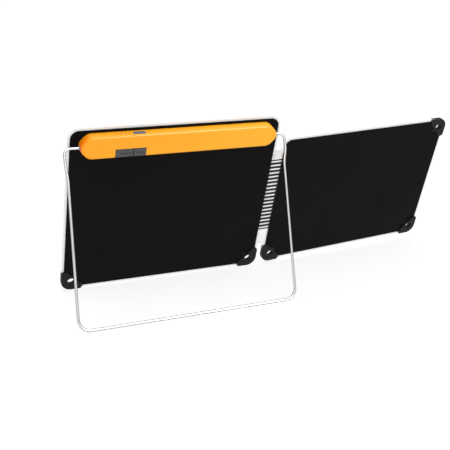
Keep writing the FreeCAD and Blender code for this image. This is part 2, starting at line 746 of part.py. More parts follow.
def housing_cover():
    """Hollow cover with openings for flaps, sockets, button, lights and kickstand."""
    part = body("housing_cover", LEAF)
    outline = sketch(part, "shell", dim.housing_split)
    housing_outline(outline)
    pad(part, outline, dim.housing_h - dim.housing_split)
    soften(part, dim.housing_edge, lambda edge: edge_at(edge, "Z", dim.housing_h))
    outline = sketch(part, "cavity", dim.housing_split)
    cavity_rect(outline, 0.0)
    cut(part, outline, dim.housing_roof - dim.housing_split)

    # recess for the two port covers, in the roof and the lower side wall,
    # and the trench for their hinge barrels
    x0, x1 = dim.flap_x0 - dim.flap_gap, dim.flap_x1 + dim.flap_gap
    top = dim.flap_top + dim.flap_gap
    foot = dim.flap_foot - dim.flap_gap
    trench_z = dim.flap_axis_z - 0.85
    block_cut(part, "port_roof", dim.housing_h - dim.flap_t, dim.housing_h + 1.0,
              x0, dim.housing_y0 - 1.0, x1, top)
    block_cut(part, "port_side", foot, foot + dim.housing_h,
              x0, dim.housing_y0 - 1.0, x1, dim.housing_y0 + dim.flap_t)
    block_cut(part, "barrel_trench", trench_z, trench_z + 4.0,
              x0, dim.flap_axis_y - 0.9, x1, top)

    # openings for the two sockets
    socket_z = pcb_top + 0.05
    for tag, left, right, height in (("usb_a", dim.usb_x0, dim.usb_x1, 5.9),
                                     ("micro", dim.micro_x0, dim.micro_x1, 3.1)):
        block_cut(part, tag, socket_z, socket_z + height, left - dim.socket_gap,
                  dim.housing_y0, right + dim.socket_gap, dim.cavity_y0 + 0.5)

    # button slot and light holes through the upper side wall
    wall_y = dim.housing_y1 + 1.0
    wall_cut = wall_y - (dim.cavity_y1 - 0.5)
    outline = sketch(part, "button_slot", -wall_y, "XZ_Plane")
    button_rect(outline, 0.15)
    cut(part, outline, wall_cut)
    outline = sketch(part, "light_holes", -wall_y, "XZ_Plane")
    for i in range(4):
        circle(outline, dim.led_x + dim.led_pitch * i, dim.led_z, dim.led_rad + 0.03)
    cut(part, outline, wall_cut)

    # bores for the kickstand bushes and chambers for its clips
    for tag, left, right, radius in (
            ("bush_left", dim.housing_x0, dim.bush_in, 2.55),
            ("bush_right", ends - dim.bush_in, dim.housing_x1, 2.55),
            ("clip_left", dim.bush_in, dim.clip_in, 3.7),
            ("clip_right", ends - dim.clip_in, ends - dim.bush_in, 3.7)):
        outline = sketch(part, tag, left, "YZ_Plane")
        circle(outline, dim.axis_y, dim.axis_z, radius)
        cut(part, outline, right - left)

    outline = sketch(part, "pilots", dim.housing_split)
    screw_circles(outline, 0.87)
    cut(part, outline, 5.6)


def housing_screws():
    part = body("housing_screws", LEAF)
    head_z, head_h = dim.tape_t + 0.05, 0.6
    pads = []
    for tag, z, length, radius in (("head", head_z, head_h, 1.65),
                                   ("shank", head_z + head_h, 6.2, 0.85)):
        outline = sketch(part, tag, z)
        circle(outline, dim.screw_x, dim.axis_y - dim.screw_dy, radius)
        pads.append(pad(part, outline, length))
    pattern(part, pads, 2, ends - dim.screw_x * 2.0, count2=2, pitch2=dim.screw_dy * 2.0)


# ------------------------------------------------------------ inside the housing
def battery():
    """Pouch cell with softened edges and the foam between it and the roof."""
    z0 = dim.housing_split + 0.05
    z1 = z0 + 6.5
    part = body("battery_pouch", LEAF)
    block(part, "pouch", z0, z1, 101.0, 182.2, 227.5, 203.4, 1.5)
    soften(part, 1.2, lambda edge: edge_at(edge, "Z", z0, z1))

    part = body("battery_pad", LEAF)
    block(part, "foam", z1 + 0.02, dim.housing_roof - 0.03, 104.0, 184.0, 224.0, 201.6, 2.0)


def circuit():
    """Circuit board, its small components and the inductor."""
    part = body("circuit_board", LEAF)
    block(part, "board", dim.pcb_z, pcb_top, 22.5, 182.0, 96.0, 201.8, 1.5)

    part = body("board_components", LEAF)
    # x0, y0, x1, y1, height
    chips = ((28.0, 190.0, 35.0, 197.0, 0.9), (38.0, 193.0, 42.0, 197.0, 0.8),
             (37.0, 185.0, 40.2, 188.0, 1.2), (28.0, 183.4, 33.0, 187.0, 1.0),
             (84.0, 196.0, 87.5, 199.5, 0.9), (44.0, 184.0, 47.0, 187.2, 1.5),
             (84.5, 183.2, 86.5, 187.0, 0.8), (72.5, 190.6, 79.0, 193.8, 1.0))
    for i, (x0, y0, x1, y1, height) in enumerate(chips):
        block(part, "chip%d" % i, pcb_top, pcb_top + height, x0, y0, x1, y1)

    part = body("power_inductor", LEAF)
    core_top = pcb_top + 3.6
    block(part, "core", pcb_top, core_top, 43.6, 189.2, 49.8, 195.4, 1.2)
    soften(part, 0.5, lambda edge: edge_at(edge, "Z", core_top))


def socket(name, x0, x1, y1, height, mouth, depth, tongue):
    """Socket facing -y: shell, mouth and tongue, heights above the circuit board.

    mouth is x0, z0, x1, z1; tongue is x0, y from the housing side, z0, x1, y1, z1.
    """
    part = body(name, LEAF)
    block(part, "shell", pcb_top + 0.1, pcb_top + height, x0, dim.housing_y0 + 1.4, x1, y1)
    outline = sketch(part, "mouth", -(dim.housing_y0 + 1.0), "XZ_Plane")
    rect(outline, mouth[0], pcb_top + mouth[1], mouth[2], pcb_top + mouth[3])
    cut(part, outline, depth, along_normal=False)
    left, setback, low, right, back, high = tongue
    block(part, "tongue", pcb_top + low, pcb_top + high,
          left, dim.housing_y0 + setback, right, back)


def tact_switch():
    part = body("tact_switch", LEAF)
    case_y1 = 201.4
    block(part, "case", pcb_top, pcb_top + 4.0, 72.0, 197.6, 78.6, case_y1)
    outline = sketch(part, "plunger", -size(case_y1), "XZ_Plane")
    circle(outline, (dim.button_x0 + dim.button_x1) * 0.5, dim.button_z, 1.2)
    pad(part, outline, 1.1, reverse=True)


def lights():
    """Row of lights on the board and the pipes from them through the side wall."""
    part = body("status_leds", LEAF)
    led = block(part, "led", pcb_top, pcb_top + 2.6,
                dim.led_x - 0.8, 200.2, dim.led_x + 0.8, 201.5)
    pattern(part, [led], dim.led_count, dim.led_pitch)

    part = body("led_light_pipes", LEAF)
    outline = sketch(part, "pipe", -dim.housing_y1, "XZ_Plane")
    circle(outline, dim.led_x, dim.led_z, dim.led_rad)
    pipe = pad(part, outline, dim.housing_y1 - 201.9)
    pattern(part, [pipe], dim.led_count, dim.led_pitch)


def battery_leads():
    """Two short wires with an S bend between the battery and a plug on the board."""
    part = body("battery_leads", LEAF)
    points = [(91.4, 186.0), (95.4, 186.0), (97.6, 188.6), (100.9, 188.6)]
    wire, path = swept_wire(part, 5.2, points, [1.5, 1.5], 0.6)
    pattern(part, [wire], 2, 3.2, axis="V_Axis", guide=path)
    block(part, "plug", pcb_top, pcb_top + 3.0, 88.6, 184.6, points[0][0], 190.6)


# ------------------------------------------------------------ covers and button
def port_cover(name, x0, x1):
    """L-shaped flap: roof panel, side lip and hinge barrel."""
    part = body(name, LEAF)
    wall = dim.flap_t - 0.08
    side, top = dim.housing_y0, dim.housing_h
    outline = sketch(part, "flap", x0, "YZ_Plane")
    polygon(outline, [(side, dim.flap_foot), (side + wall, dim.flap_foot),
                      (side + wall, top - wall), (dim.flap_axis_y, top - wall),
                      (dim.flap_axis_y, top), (side, top)], {5: dim.housing_edge})
    pad(part, outline, x1 - x0)
    barrel_inset = 1.5
    outline = sketch(part, "barrel", x0 + barrel_inset, "YZ_Plane")
    circle(outline, dim.flap_axis_y, dim.flap_axis_z, 0.75)
    pad(part, outline, x1 - x0 - 2 * barrel_inset)


def power_button():
    """Button stem with a softened outer rim and a flange inside the cavity wall."""
    part = body("power_button", LEAF)
    face_y = dim.housing_y1 + dim.button_proud
    outline = sketch(part, "stem", -face_y, "XZ_Plane")
    button_rect(outline, 0.0)
    pad(part, outline, face_y - 203.6)
    outline = sketch(part, "flange", -(dim.cavity_y1 - 0.15), "XZ_Plane")
    rect(outline, dim.button_x0 - 1.0, dim.button_z - 3.0,
         dim.button_x1 + 1.0, dim.button_z + 3.0, 2.5)
    pad(part, outline, 1.0)
    soften(part, 0.5, lambda edge: edge_at(edge, "Y", face_y))


# ------------------------------------------------------------ kickstand
def pivot_bush(name, frame):
    """Plain bush: its rounded outer end shows as a small collar at the housing's tip."""
    part = body(name, frame)
    start = dim.housing_x0 + dim.housing_end - 1.3
    outline = sketch(part, "sleeve", start, "YZ_Plane")
    circle(outline, dim.axis_y, dim.axis_z, 2.52)
    pad(part, outline, dim.bush_in - 0.1 - start)
    outline = sketch(part, "bore", start - 0.7, "YZ_Plane")
    circle(outline, dim.axis_y, dim.axis_z, dim.wire_rad + dim.bush_gap)
    cut(part, outline, 12.0)
    soften(part, 0.5, lambda edge: edge_at(edge, "X", start)
           and isinstance(edge.Curve, Part.Circle) and edge.Curve.Radius > 2.4)


def kickstand_wire():
    """One bent wire from pin to pin, with a clip groove near each end."""
    part = body("kickstand_wire", STAND)
    points = [(dim.pin_in, 0.0), (dim.leg_top_l, 0.0), (dim.leg_mid_l, -dim.kink_hi),
              (dim.leg_in_l, -dim.kink_lo), (dim.leg_low_l, -dim.stand_len),
              (dim.leg_low_r, -dim.stand_len), (dim.leg_in_r, -dim.kink_lo),
              (dim.leg_mid_r, -dim.kink_hi), (dim.leg_top_r, 0.0), (ends - dim.pin_in, 0.0)]
    leg_bends = [dim.bend_top, dim.kink_rad, dim.kink_rad, dim.bend_low]
    swept_wire(part, 0.0, points, leg_bends + leg_bends[::-1], dim.wire_rad)
    for tag, x in (("groove_left", dim.groove_x),
                   ("groove_right", ends - dim.groove_x - dim.groove_w)):
        outline = sketch(part, tag, x, "YZ_Plane")
        circle(outline, 0.0, 0.0, 2.2)
        circle(outline, 0.0, 0.0, 1.2)
        cut(part, outline, dim.groove_w)


def kickstand_clips():
    """Washer-shaped clip in each groove of the wire."""
    part = body("kickstand_clips", STAND)
    clip_x = dim.groove_x + dim.clip_gap
    clip_t = dim.groove_w - dim.clip_gap * 2.0
    outline = sketch(part, "washer", clip_x, "YZ_Plane")
    circle(outline, 0.0, 0.0, 3.0)
    circle(outline, 0.0, 0.0, 1.22)
    washer = pad(part, outline, clip_t)
    # an empty sketch whose H axis runs along the kickstand axis
    guide = sketch(part, "axis_guide")
    pattern(part, [washer], 2, ends - clip_x * 2.0 - clip_t, guide=guide)


flat_leads()
hinge_web()
module_tape()
housing_base()
cover_seal()
housing_cover()
housing_screws()
battery()
circuit()
socket("usb_a_port", dim.usb_x0, dim.usb_x1, 194.4, 5.7, mouth=(52.0, 0.5, 65.0, 5.3),
       depth=10.0, tongue=(52.9, 3.2, 3.1, 64.1, 190.6, 4.9))
socket("micro_usb_port", dim.micro_x0, dim.micro_x1, 185.4, 2.9,
       mouth=(72.6, 0.45, 79.4, 2.55), depth=5.0, tongue=(73.9, 2.4, 1.6, 78.1, 184.6, 2.2))
tact_switch()
lights()
battery_leads()
port_cover("output_port_cover", dim.flap_x0, dim.flap_mid - 0.25)
port_cover("input_port_cover", dim.flap_mid + 0.25, dim.flap_x1)
power_button()
pivot_bush("pivot_bush_left", LEAF)
pivot_bush("pivot_bush_right", moved(LEAF, ends.value, 2 * dim.axis_y.value, 0, angle=180))
kickstand_wire()
kickstand_clips()

# ------------------------------------------------------------ place, check and export
for part, frame in pieces:
    part.Placement = frame
doc.recompute()
bad = []
for item in doc.Objects:
    if any(word in ("Invalid", "Error") for word in item.State):
        bad.append("%s %s" % (item.Name, item.State))
for part, frame in pieces:
    if part.Shape.isNull() or not part.Shape.isValid() or not part.Shape.Solids:
        bad.append("%s has no valid shape" % part.Label)
if bad:
    raise RuntimeError("; ".join(bad))
os.makedirs("parts", exist_ok=True)
for part, frame in pieces:
    part.Shape.exportStep("parts/%s.step" % part.Label)
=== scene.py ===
# Folding solar charger, standing open: a main leaf with an orange electronics housing, a
# second leaf, and a ribbed flexible web between them with a fold line along each side.
# Each leaf has its own frame in mm: u runs across it, v along the fold lines and w along
# its normal. The main leaf's u is world +X; its fold line lies at u = BOARD_W + RIM.
# The CAD supplies the rigid pieces; this script dresses them and builds the web.
import json
import math
import bpy
import bmesh
from mathutils import Vector, Matrix


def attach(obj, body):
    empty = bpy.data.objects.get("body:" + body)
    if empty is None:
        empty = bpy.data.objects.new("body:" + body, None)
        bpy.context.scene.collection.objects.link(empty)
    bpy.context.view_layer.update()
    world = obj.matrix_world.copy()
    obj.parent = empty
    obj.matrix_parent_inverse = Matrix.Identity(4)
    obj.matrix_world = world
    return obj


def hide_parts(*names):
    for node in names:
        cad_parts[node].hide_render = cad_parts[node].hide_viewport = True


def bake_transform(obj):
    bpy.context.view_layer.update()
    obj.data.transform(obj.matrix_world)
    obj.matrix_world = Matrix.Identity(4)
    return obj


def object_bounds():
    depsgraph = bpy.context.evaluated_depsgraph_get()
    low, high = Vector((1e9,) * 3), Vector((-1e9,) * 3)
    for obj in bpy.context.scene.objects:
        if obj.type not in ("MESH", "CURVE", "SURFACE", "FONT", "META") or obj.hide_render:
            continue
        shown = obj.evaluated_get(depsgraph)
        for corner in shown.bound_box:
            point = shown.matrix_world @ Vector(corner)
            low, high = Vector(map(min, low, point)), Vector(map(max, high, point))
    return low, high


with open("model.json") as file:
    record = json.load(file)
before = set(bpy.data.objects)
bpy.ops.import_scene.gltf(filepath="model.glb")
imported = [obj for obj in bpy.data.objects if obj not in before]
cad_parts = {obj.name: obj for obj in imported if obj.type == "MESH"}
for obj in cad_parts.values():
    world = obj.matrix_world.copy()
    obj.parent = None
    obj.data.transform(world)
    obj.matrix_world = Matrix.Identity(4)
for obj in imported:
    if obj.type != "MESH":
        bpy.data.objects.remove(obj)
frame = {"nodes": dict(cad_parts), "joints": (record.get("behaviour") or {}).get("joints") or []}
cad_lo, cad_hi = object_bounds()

MM = 0.001

# ------------------------------------------------------------------ leaf frames
BOARD_W = 250.0                     # board width along u
RIM = 3.0                           # gap from board edge to fold line
FOLD_W = -2.2                       # w of the fold lines
STRIP_V0, STRIP_V1 = 27.0, 167.0    # ends of the flexible strip along v
FOLD_V = (STRIP_V0 + STRIP_V1) / 2  # v of the fold joints

joints = {joint["name"]: joint for joint in frame["joints"]}
AXIS_V = Vector(joints["web_fold"]["axis"]).normalized()
MAIN_X = Vector((1, 0, 0))
MAIN_N = MAIN_X.cross(AXIS_V).normalized()
FOLD_A = Vector(joints["web_fold"]["pos_m"]) - AXIS_V * FOLD_V * MM    # main side, v = 0
FOLD_B = Vector(joints["leaf_fold"]["pos_m"]) - AXIS_V * FOLD_V * MM   # second side, v = 0
WEB_X = (FOLD_B - FOLD_A).normalized()
WEB_N = WEB_X.cross(AXIS_V).normalized()
WEB_W = (FOLD_B - FOLD_A).length / MM
REST = math.acos(max(-1.0, min(1.0, WEB_X.dot(MAIN_X))))   # rest angle at each fold
SECOND_X = (WEB_X * math.cos(REST) - WEB_N * math.sin(REST)).normalized()
SECOND_N = SECOND_X.cross(AXIS_V).normalized()
MAIN_ORIGIN = FOLD_A - (MAIN_X * (BOARD_W + RIM) + MAIN_N * FOLD_W) * MM
SECOND_ORIGIN = FOLD_B + (SECOND_X * RIM - SECOND_N * FOLD_W) * MM

# origin and the u, v, w directions
MAIN_FRAME = (MAIN_ORIGIN, MAIN_X, AXIS_V, MAIN_N)
SECOND_FRAME = (SECOND_ORIGIN, SECOND_X, AXIS_V, SECOND_N)


def main_point(u, v, w):
    return MAIN_ORIGIN + (MAIN_X * u + AXIS_V * v + MAIN_N * w) * MM


# ------------------------------------------------------------------- shader kit
LOOKS = {}      # every material by name


def shade(color, factor):
    """The colour made darker or lighter, held at 1."""
    return tuple(min(1.0, channel * factor) for channel in color)


class Nodes:
    """A node tree built up by small calls. Inputs take a socket or a plain value."""

    def __init__(self, owner):
        owner.use_nodes = True
        self.tree = owner.node_tree
        self.tree.nodes.clear()

    def node(self, kind, inputs=None, **props):
        made = self.tree.nodes.new("ShaderNode" + kind)
        for key, value in props.items():
            setattr(made, key, value)
        for key, value in (inputs or {}).items():
            self.put(made.inputs[key], value)
        return made

    def put(self, socket, value):
        if value is None:
            return
        if isinstance(value, bpy.types.NodeSocket):
            self.tree.links.new(value, socket)
        elif isinstance(value, (tuple, list)) and len(value) == 3 and socket.type == "RGBA":
            socket.default_value = (*value, 1.0)
        else:
            socket.default_value = value

    def math(self, operation, a, b=None):
        return self.node("Math", {0: a, 1: b}, operation=operation).outputs[0]

    def add(self, a, b):
        return self.math("ADD", a, b)

    def sub(self, a, b):
        return self.math("SUBTRACT", a, b)

    def mul(self, a, b):
        return self.math("MULTIPLY", a, b)

    def lift(self, base, field, by):
        """base + field * by"""
        return self.add(base, self.mul(field, by))

    def dot(self, a, b):
        made = self.node("VectorMath", {0: a, 1: b}, operation="DOT_PRODUCT")
        return made.outputs["Value"]

    def span(self, field, lo, hi, start=0.0, end=1.0, curve="LINEAR"):
        """The field's range lo..hi mapped to start..end and clamped."""
        return self.node("MapRange", {0: field, 1: lo, 2: hi, 3: start, 4: end},
                         clamp=True, interpolation_type=curve).outputs[0]

    def mix_shader(self, factor, first, second):
        return self.node("MixShader", {0: factor, 1: first.outputs[0], 2: second.outputs[0]})


class Shader(Nodes):
    """A material's nodes; sizes, radii and depths are in millimetres of the object."""

    def __init__(self, name, axes=MAIN_FRAME):
        LOOKS[name] = bpy.data.materials.new(name)
        super().__init__(LOOKS[name])
        self.out = self.node("OutputMaterial")
        self.axes = axes
        self.object_xyz = None
        self.from_origin = None
        self.coords = {}

    def xyz(self):
        if self.object_xyz is None:
            self.object_xyz = self.node("TexCoord").outputs["Object"]
        return self.object_xyz

    def coord(self, index):
        """One leaf coordinate in mm: 1 is u, 2 is v, 3 is w."""
        if self.from_origin is None:
            self.from_origin = self.node("VectorMath", {0: self.xyz(), 1: tuple(self.axes[0])},
                                         operation="SUBTRACT").outputs[0]
        if index not in self.coords:
            direction = tuple(self.axes[index] * 1000.0)
            self.coords[index] = self.dot(self.from_origin, direction)
        return self.coords[index]

    @property
    def u(self):
        return self.coord(1)

    @property
    def v(self):
        return self.coord(2)

    @property
    def w(self):
        return self.coord(3)

    def vec(self, x, y, z=0.0):
        return self.node("CombineXYZ", {0: x, 1: y, 2: z}).outputs[0]

    def noise(self, size, detail, rough, distortion=0.0):
        return self.node("TexNoise", {
            "Vector": self.xyz(), "Scale": 1000.0 / size, "Detail": detail,
            "Roughness": rough, "Distortion": distortion}).outputs["Fac"]

    def streaks(self, sizes):
        """Noise stretched to its own size along each of u, v and w."""
        scaled = [self.mul(field, 1.0 / size)
                  for field, size in zip((self.u, self.v, self.w), sizes)]
        return self.node("TexNoise", {
            "Vector": self.vec(*scaled), "Scale": 1.0, "Detail": 3.0,
            "Roughness": 0.6, "Distortion": 0.0}).outputs["Fac"]

    def cells(self, size, feature="F1"):
        return self.node("TexVoronoi", {
            "Vector": self.xyz(), "Scale": 1000.0 / size, "Randomness": 1.0},
            feature=feature).outputs["Distance"]

    def flat_cells(self, size, vector, randomness, feature="F1"):
        """Cells on a vector that is already in mm."""
        return self.node("TexVoronoi", {
            "Vector": vector, "Scale": 1.0 / size, "Randomness": randomness},
            feature=feature).outputs["Distance"]

    def mix(self, factor, first, second):
        return self.node("Mix", {0: factor, 6: first, 7: second}, data_type="RGBA").outputs[2]

    def tint(self, color, onto, field, lo, hi, amount):
        """Takes the colour part of the way to another where the field is high."""
        return self.mix(self.mul(self.span(field, lo, hi), amount), color, onto)

    def bump(self, height, depth, strength, normal=None):
        return self.node("Bump", {"Strength": strength, "Distance": depth * MM,
                                  "Height": height, "Normal": normal}).outputs[0]

    def edge(self, radius):
        """(softened normal, 0..1 mask that is 1 on edges)."""
        bevel = self.node("Bevel", {"Radius": radius * MM}, samples=4).outputs[0]
        geometry = self.node("NewGeometry")
        facing = self.dot(bevel, geometry.outputs["Normal"])
        return bevel, self.span(facing, lo=0.99, hi=0.80)

    def rubbed_and_highlit(self, color, onto, edges, amount):
        """Broken wear along the edges; on the black moulding it also serves as a painted edge
        highlight.
        """
        broken = self.span(self.noise(size=2.2, detail=4.0, rough=0.65), lo=0.42, hi=0.62)
        return self.mix(self.mul(self.mul(edges, broken), amount), color, onto)

    def spark(self, fine, cell, depth, strength, normal):
        """Spark-eroded mould grain."""
        return self.bump(self.lift(self.mul(fine, 0.55), cell, by=0.45), depth, strength, normal)

    def drift(self, rough, mottle, fine, mottle_by, fine_by):
        """Roughness that wanders either side of its base."""
        slow = self.add(self.mul(self.sub(mottle, 0.5), mottle_by), rough)
        return self.lift(slow, self.sub(fine, 0.5), by=fine_by)

    def surface(self, color, rough, metal=0.0, bump=None, specular=0.5, extra=None):
        shader = self.node("BsdfPrincipled", {
            "Base Color": color, "Roughness": rough, "Metallic": metal, "Normal": bump,
            "Specular IOR Level": specular, **(extra or {})})
        self.put(self.out.inputs["Surface"], shader.outputs[0])


# -------------------------------------------------------------------- materials
ORANGE = (0.98, 0.375, 0.003)

# The port recess of the housing, in the main leaf's frame.
RECESS_U0, RECESS_U1 = 47.7, 83.3
RECESS_V_MAX = 191.1
RECESS_W_MIN = 3.1
LIP_HALF_U = 17.55      # the lip lies outside this distance from the recess centre
LIP_W_MIN = 11.0


def orange_shell():
    """Satin orange with painted light and shade: a deeper orange painted on the faces of the
    low-u end, paler along u, and dark painted shade in the port recess.
    """
    mat = Shader("orange_shell")
    soft, edges = mat.edge(radius=0.35)
    broad = mat.noise(size=38.0, detail=3.0, rough=0.55)
    mottle = mat.noise(size=4.0, detail=4.0, rough=0.6)
    fine = mat.noise(size=0.30, detail=2.0, rough=0.7)
    cell = mat.cells(size=0.5, feature="SMOOTH_F1")
    color = mat.mix(mat.span(broad, lo=0.3, hi=0.7), shade(ORANGE, 0.97), shade(ORANGE, 1.02))
    # Painted shade: faces turned toward -x at the low-u end are painted a deeper orange.
    facing = mat.dot(mat.node("NewGeometry").outputs["Normal"], (-1.0, 0.0, 0.0))
    end = mat.mul(mat.span(facing, lo=0.12, hi=0.85), mat.span(mat.u, lo=40.0, hi=24.0))
    color = mat.mix(mat.mul(end, 0.92), color, (1.0, 0.190, 0.001))
    # Painted light: the shell is painted paler toward high u.
    color = mat.mix(mat.span(mat.u, lo=60.0, hi=235.0, end=0.5), color, (1.0, 0.50, 0.022))
    color = mat.tint(color, shade(ORANGE, 0.85), mottle, lo=0.55, hi=0.75, amount=0.06)
    color = mat.rubbed_and_highlit(color, (1.0, 0.60, 0.16), edges, amount=0.2)
    # Painted shade: the port recess is painted near black, a little less on its lip.
    across = mat.mul(mat.math("GREATER_THAN", mat.u, RECESS_U0),
                     mat.math("LESS_THAN", mat.u, RECESS_U1))
    within = mat.mul(mat.math("LESS_THAN", mat.v, RECESS_V_MAX),
                     mat.math("GREATER_THAN", mat.w, RECESS_W_MIN))
    inside = mat.mul(across, within)
    off_centre = mat.math("ABSOLUTE", mat.sub(mat.u, (RECESS_U0 + RECESS_U1) / 2))
    lip = mat.mul(mat.math("GREATER_THAN", off_centre, LIP_HALF_U),
                  mat.math("GREATER_THAN", mat.w, LIP_W_MIN))
    painted_recess_shade = mat.mul(inside, mat.sub(1.0, mat.mul(lip, 0.4)))
    color = mat.mix(painted_recess_shade, color, (0.020, 0.018, 0.017))
    mat.surface(color, rough=mat.drift(0.34, mottle, fine, mottle_by=0.10, fine_by=0.08),
                bump=mat.spark(fine, cell, depth=0.012, strength=0.5, normal=soft),
                specular=0.34)


def moulded(name, base, rough, grain, depth, vary, wear_and_highlight, worn_and_highlight, radius, specular):
    """Moulded plastic: fine spark grain, slow colour drift, rubbed edges that are wear and, on
    the black moulding, also a painted edge highlight.
    """
    mat = Shader(name)
    soft, edges = mat.edge(radius)
    broad = mat.noise(size=38.0, detail=3.0, rough=0.55)
    mottle = mat.noise(size=4.0, detail=4.0, rough=0.6)
    fine = mat.noise(size=grain, detail=2.0, rough=0.7)
    cell = mat.cells(size=grain * 1.7, feature="SMOOTH_F1")
    color = mat.mix(mat.span(broad, lo=0.3, hi=0.7),
                    shade(base, 1 - vary), shade(base, 1 + vary * 0.6))
    color = mat.tint(color, shade(base, 0.82), mottle, lo=0.55, hi=0.75, amount=0.10)
    color = mat.rubbed_and_highlit(color, worn_and_highlight, edges, amount=wear_and_highlight)
    mat.surface(color, rough=mat.drift(rough, mottle, fine, mottle_by=0.14, fine_by=0.10),
                bump=mat.spark(fine, cell, depth, strength=0.6, normal=soft),
                specular=specular)


def weave(name, axes):
    """Coated woven laminate: plain weave with slubs and a faint sheen."""
    pitch = 0.9
    valley, crest = (0.0030, 0.0030, 0.0033), (0.0078, 0.0078, 0.0084)
    mat = Shader(name, axes)
    wobble = mat.noise(size=9.0, detail=2.0, rough=0.5)
    warp = mat.lift(mat.math("DIVIDE", mat.u, pitch), wobble, by=0.25)
    weft = mat.lift(mat.math("DIVIDE", mat.v, pitch), wobble, by=0.25)
    warp_index, weft_index = mat.math("FLOOR", warp), mat.math("FLOOR", weft)

    def wave(turns):
        return mat.math("SINE", mat.mul(turns, math.pi))

    warp_round = wave(mat.math("FRACT", warp))
    weft_round = wave(mat.math("FRACT", weft))
    warp_over = wave(mat.add(weft, warp_index))
    weft_over = wave(mat.add(mat.add(warp, weft_index), 1.0))
    height = mat.math("MAXIMUM", mat.mul(warp_round, mat.lift(0.65, warp_over, by=0.35)),
                      mat.mul(weft_round, mat.lift(0.65, weft_over, by=0.35)))
    slub = mat.streaks((0.5, 14.0, 4.0))
    fuzz = mat.noise(size=0.22, detail=2.0, rough=0.7)
    broad = mat.noise(size=55.0, detail=3.0, rough=0.6)
    # Painted shade: the weave's valleys are painted darker than its crests.
    color = mat.mix(mat.span(height, lo=0.35, hi=1.0), valley, crest)
    color = mat.tint(color, shade(crest, 1.5), slub, lo=0.45, hi=0.75, amount=0.45)
    color = mat.tint(color, shade(valley, 0.75), broad, lo=0.35, hi=0.7, amount=0.3)
    soft, edges = mat.edge(radius=0.25)
    # Painted highlight: the board's edges are painted paler.
    color = mat.mix(mat.mul(edges, 0.5), color, shade(crest, 1.9))
    rough = mat.lift(0.62, mat.sub(broad, 0.5), by=0.16)
    mat.surface(color, rough=mat.sub(rough, mat.mul(height, 0.08)),
                bump=mat.bump(mat.lift(height, fuzz, by=0.35), 0.07, 0.55, soft),
                specular=0.035)


def drawn_metal(name, base, rough, along, stain=None, painted_rim_shade=None):
    """Metal with drawing lines and handling marks; the last argument, if given, is the painted
    shade colour it takes at grazing angles.
    """
    mat = Shader(name)
    lines = mat.streaks(along)
    spots = mat.noise(size=5.0, detail=4.0, rough=0.6)
    fine = mat.noise(size=0.3, detail=2.0, rough=0.6)
    color = mat.mix(mat.span(lines, lo=0.35, hi=0.7), shade(base, 0.9), base)
    color = mat.tint(color, stain or shade(base, 0.75), spots, lo=0.55, hi=0.8, amount=0.35)
    rough = mat.lift(rough, mat.sub(lines, 0.5), by=0.16)
    rough = mat.lift(rough, mat.span(spots, lo=0.5, hi=0.8), by=0.10)
    extra = {}
    if painted_rim_shade is not None:
        # Painted shade: the metal is painted toward a dark colour at its grazing edges.
        facing = mat.node("LayerWeight", {"Blend": 0.5}).outputs["Facing"]
        color = mat.mix(mat.span(facing, lo=0.20, hi=0.70), color, painted_rim_shade)
        extra["Specular Tint"] = painted_rim_shade
    mat.surface(color, rough, metal=1.0, extra=extra,
                bump=mat.bump(mat.lift(lines, fine, by=0.3), depth=0.006, strength=0.5))


def lead_wire():
    """Red and black silicone sleeves, told apart by v across the pair."""
    mat = Shader("lead_wire")
    lines = mat.noise(size=0.6, detail=2.0, rough=0.6)
    color = mat.mix(mat.span(mat.v, lo=187.1, hi=187.5),
                    (0.42, 0.018, 0.015), (0.03, 0.03, 0.032))
    color = mat.mix(mat.mul(lines, 0.3), color, (0.12, 0.05, 0.05))
    mat.surface(color, rough=mat.lift(0.45, lines, by=0.15),
                bump=mat.bump(lines, depth=0.02, strength=0.4), specular=0.35)


def battery_foil():
    """Creased foil pouch."""
    mat = Shader("battery_foil")
    crease = mat.noise(size=6.0, detail=5.0, rough=0.65, distortion=0.6)
    fine = mat.noise(size=0.8, detail=3.0, rough=0.6)
    color = mat.mix(mat.span(crease, lo=0.35, hi=0.7), (0.62, 0.63, 0.65), (0.80, 0.81, 0.83))
    mat.surface(color, rough=mat.lift(0.28, fine, by=0.18), metal=0.9,
                bump=mat.bump(crease, depth=0.25, strength=0.6))


def circuit_board():
    """Green solder mask with tracks and tinned pads showing through."""
    mat = Shader("circuit_board")
    flat = mat.vec(mat.u, mat.v)
    tracks = mat.node("TexBrick", {
        "Vector": flat, "Scale": 0.35, "Mortar Size": 0.05,
        "Color1": (0.008, 0.085, 0.030), "Color2": (0.010, 0.105, 0.040),
        "Mortar": (0.020, 0.190, 0.060)})
    pads = mat.math("LESS_THAN", mat.flat_cells(size=2.4, vector=flat, randomness=0.25), 0.22)
    color = mat.mix(mat.mul(pads, 0.9), tracks.outputs["Color"], (0.62, 0.60, 0.55))
    mask = mat.noise(size=1.2, detail=3.0, rough=0.5)
    mat.surface(color, rough=mat.lift(0.26, mask, by=0.14), metal=mat.mul(pads, 0.8),
                bump=mat.bump(mat.add(tracks.outputs["Fac"], pads), depth=0.03, strength=0.5))


